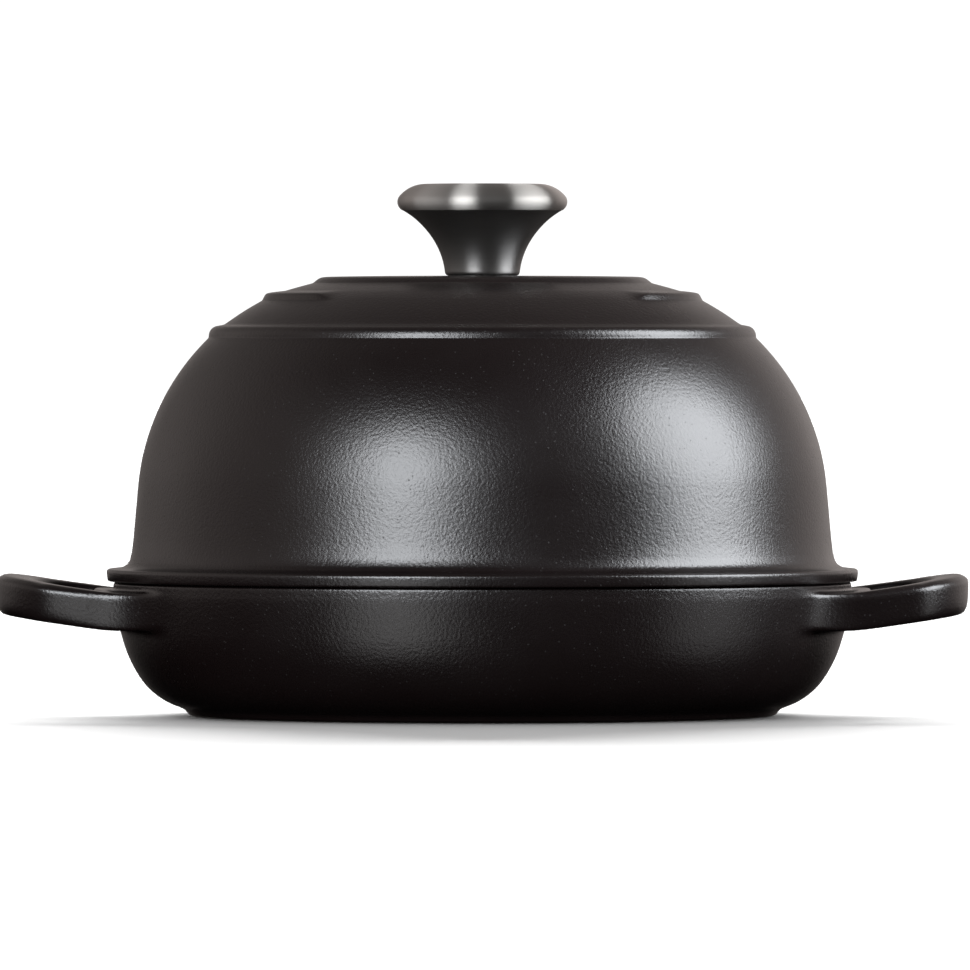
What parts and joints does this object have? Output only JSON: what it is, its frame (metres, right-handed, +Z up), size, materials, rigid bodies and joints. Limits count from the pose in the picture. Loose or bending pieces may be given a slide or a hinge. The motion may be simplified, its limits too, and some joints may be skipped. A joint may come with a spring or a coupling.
{
  "type": "bread pot",
  "caption": "Black enamelled cast-iron bread pot: shallow round base with loop handles, and a tall domed lid with stepped rings and a flared steel knob that lifts off.",
  "frame": {"origin": "centre of the foot, on the table, at the bottom centre of the whole pot's box", "axes": "+Z up through the knob, +X through the right loop handle, and the opening in the lid's middle ring faces -Y"},
  "size_m": [0.3308, 0.2556, 0.1813],
  "materials": {
    "black_enamel": "satin black enamel with a fine pebbled surface",
    "knob_steel": "satin steel brushed round the axis",
    "fixing_steel": "plain turned steel"
  },
  "bodies": {
    "base": {"base_pan": "black_enamel"},
    "lid": {"dome_lid": "black_enamel"},
    "knob": {"knob_stem": "knob_steel", "knob_cap": "knob_steel", "knob_bush": "fixing_steel", "knob_screw": "fixing_steel", "spring_washer": "fixing_steel", "flat_washer": "fixing_steel"}
  },
  "joints": [
    {"name": "lid_lift", "type": "slide", "parent": "base", "child": "lid", "axis": [0, 0, 1], "range_m": [0, 0.18]},
    {"name": "knob_turn", "type": "hinge", "parent": "lid", "child": "knob", "pos_m": [0, 0, 0.15], "axis": [0, 0, 1], "continuous": true}
  ]
}
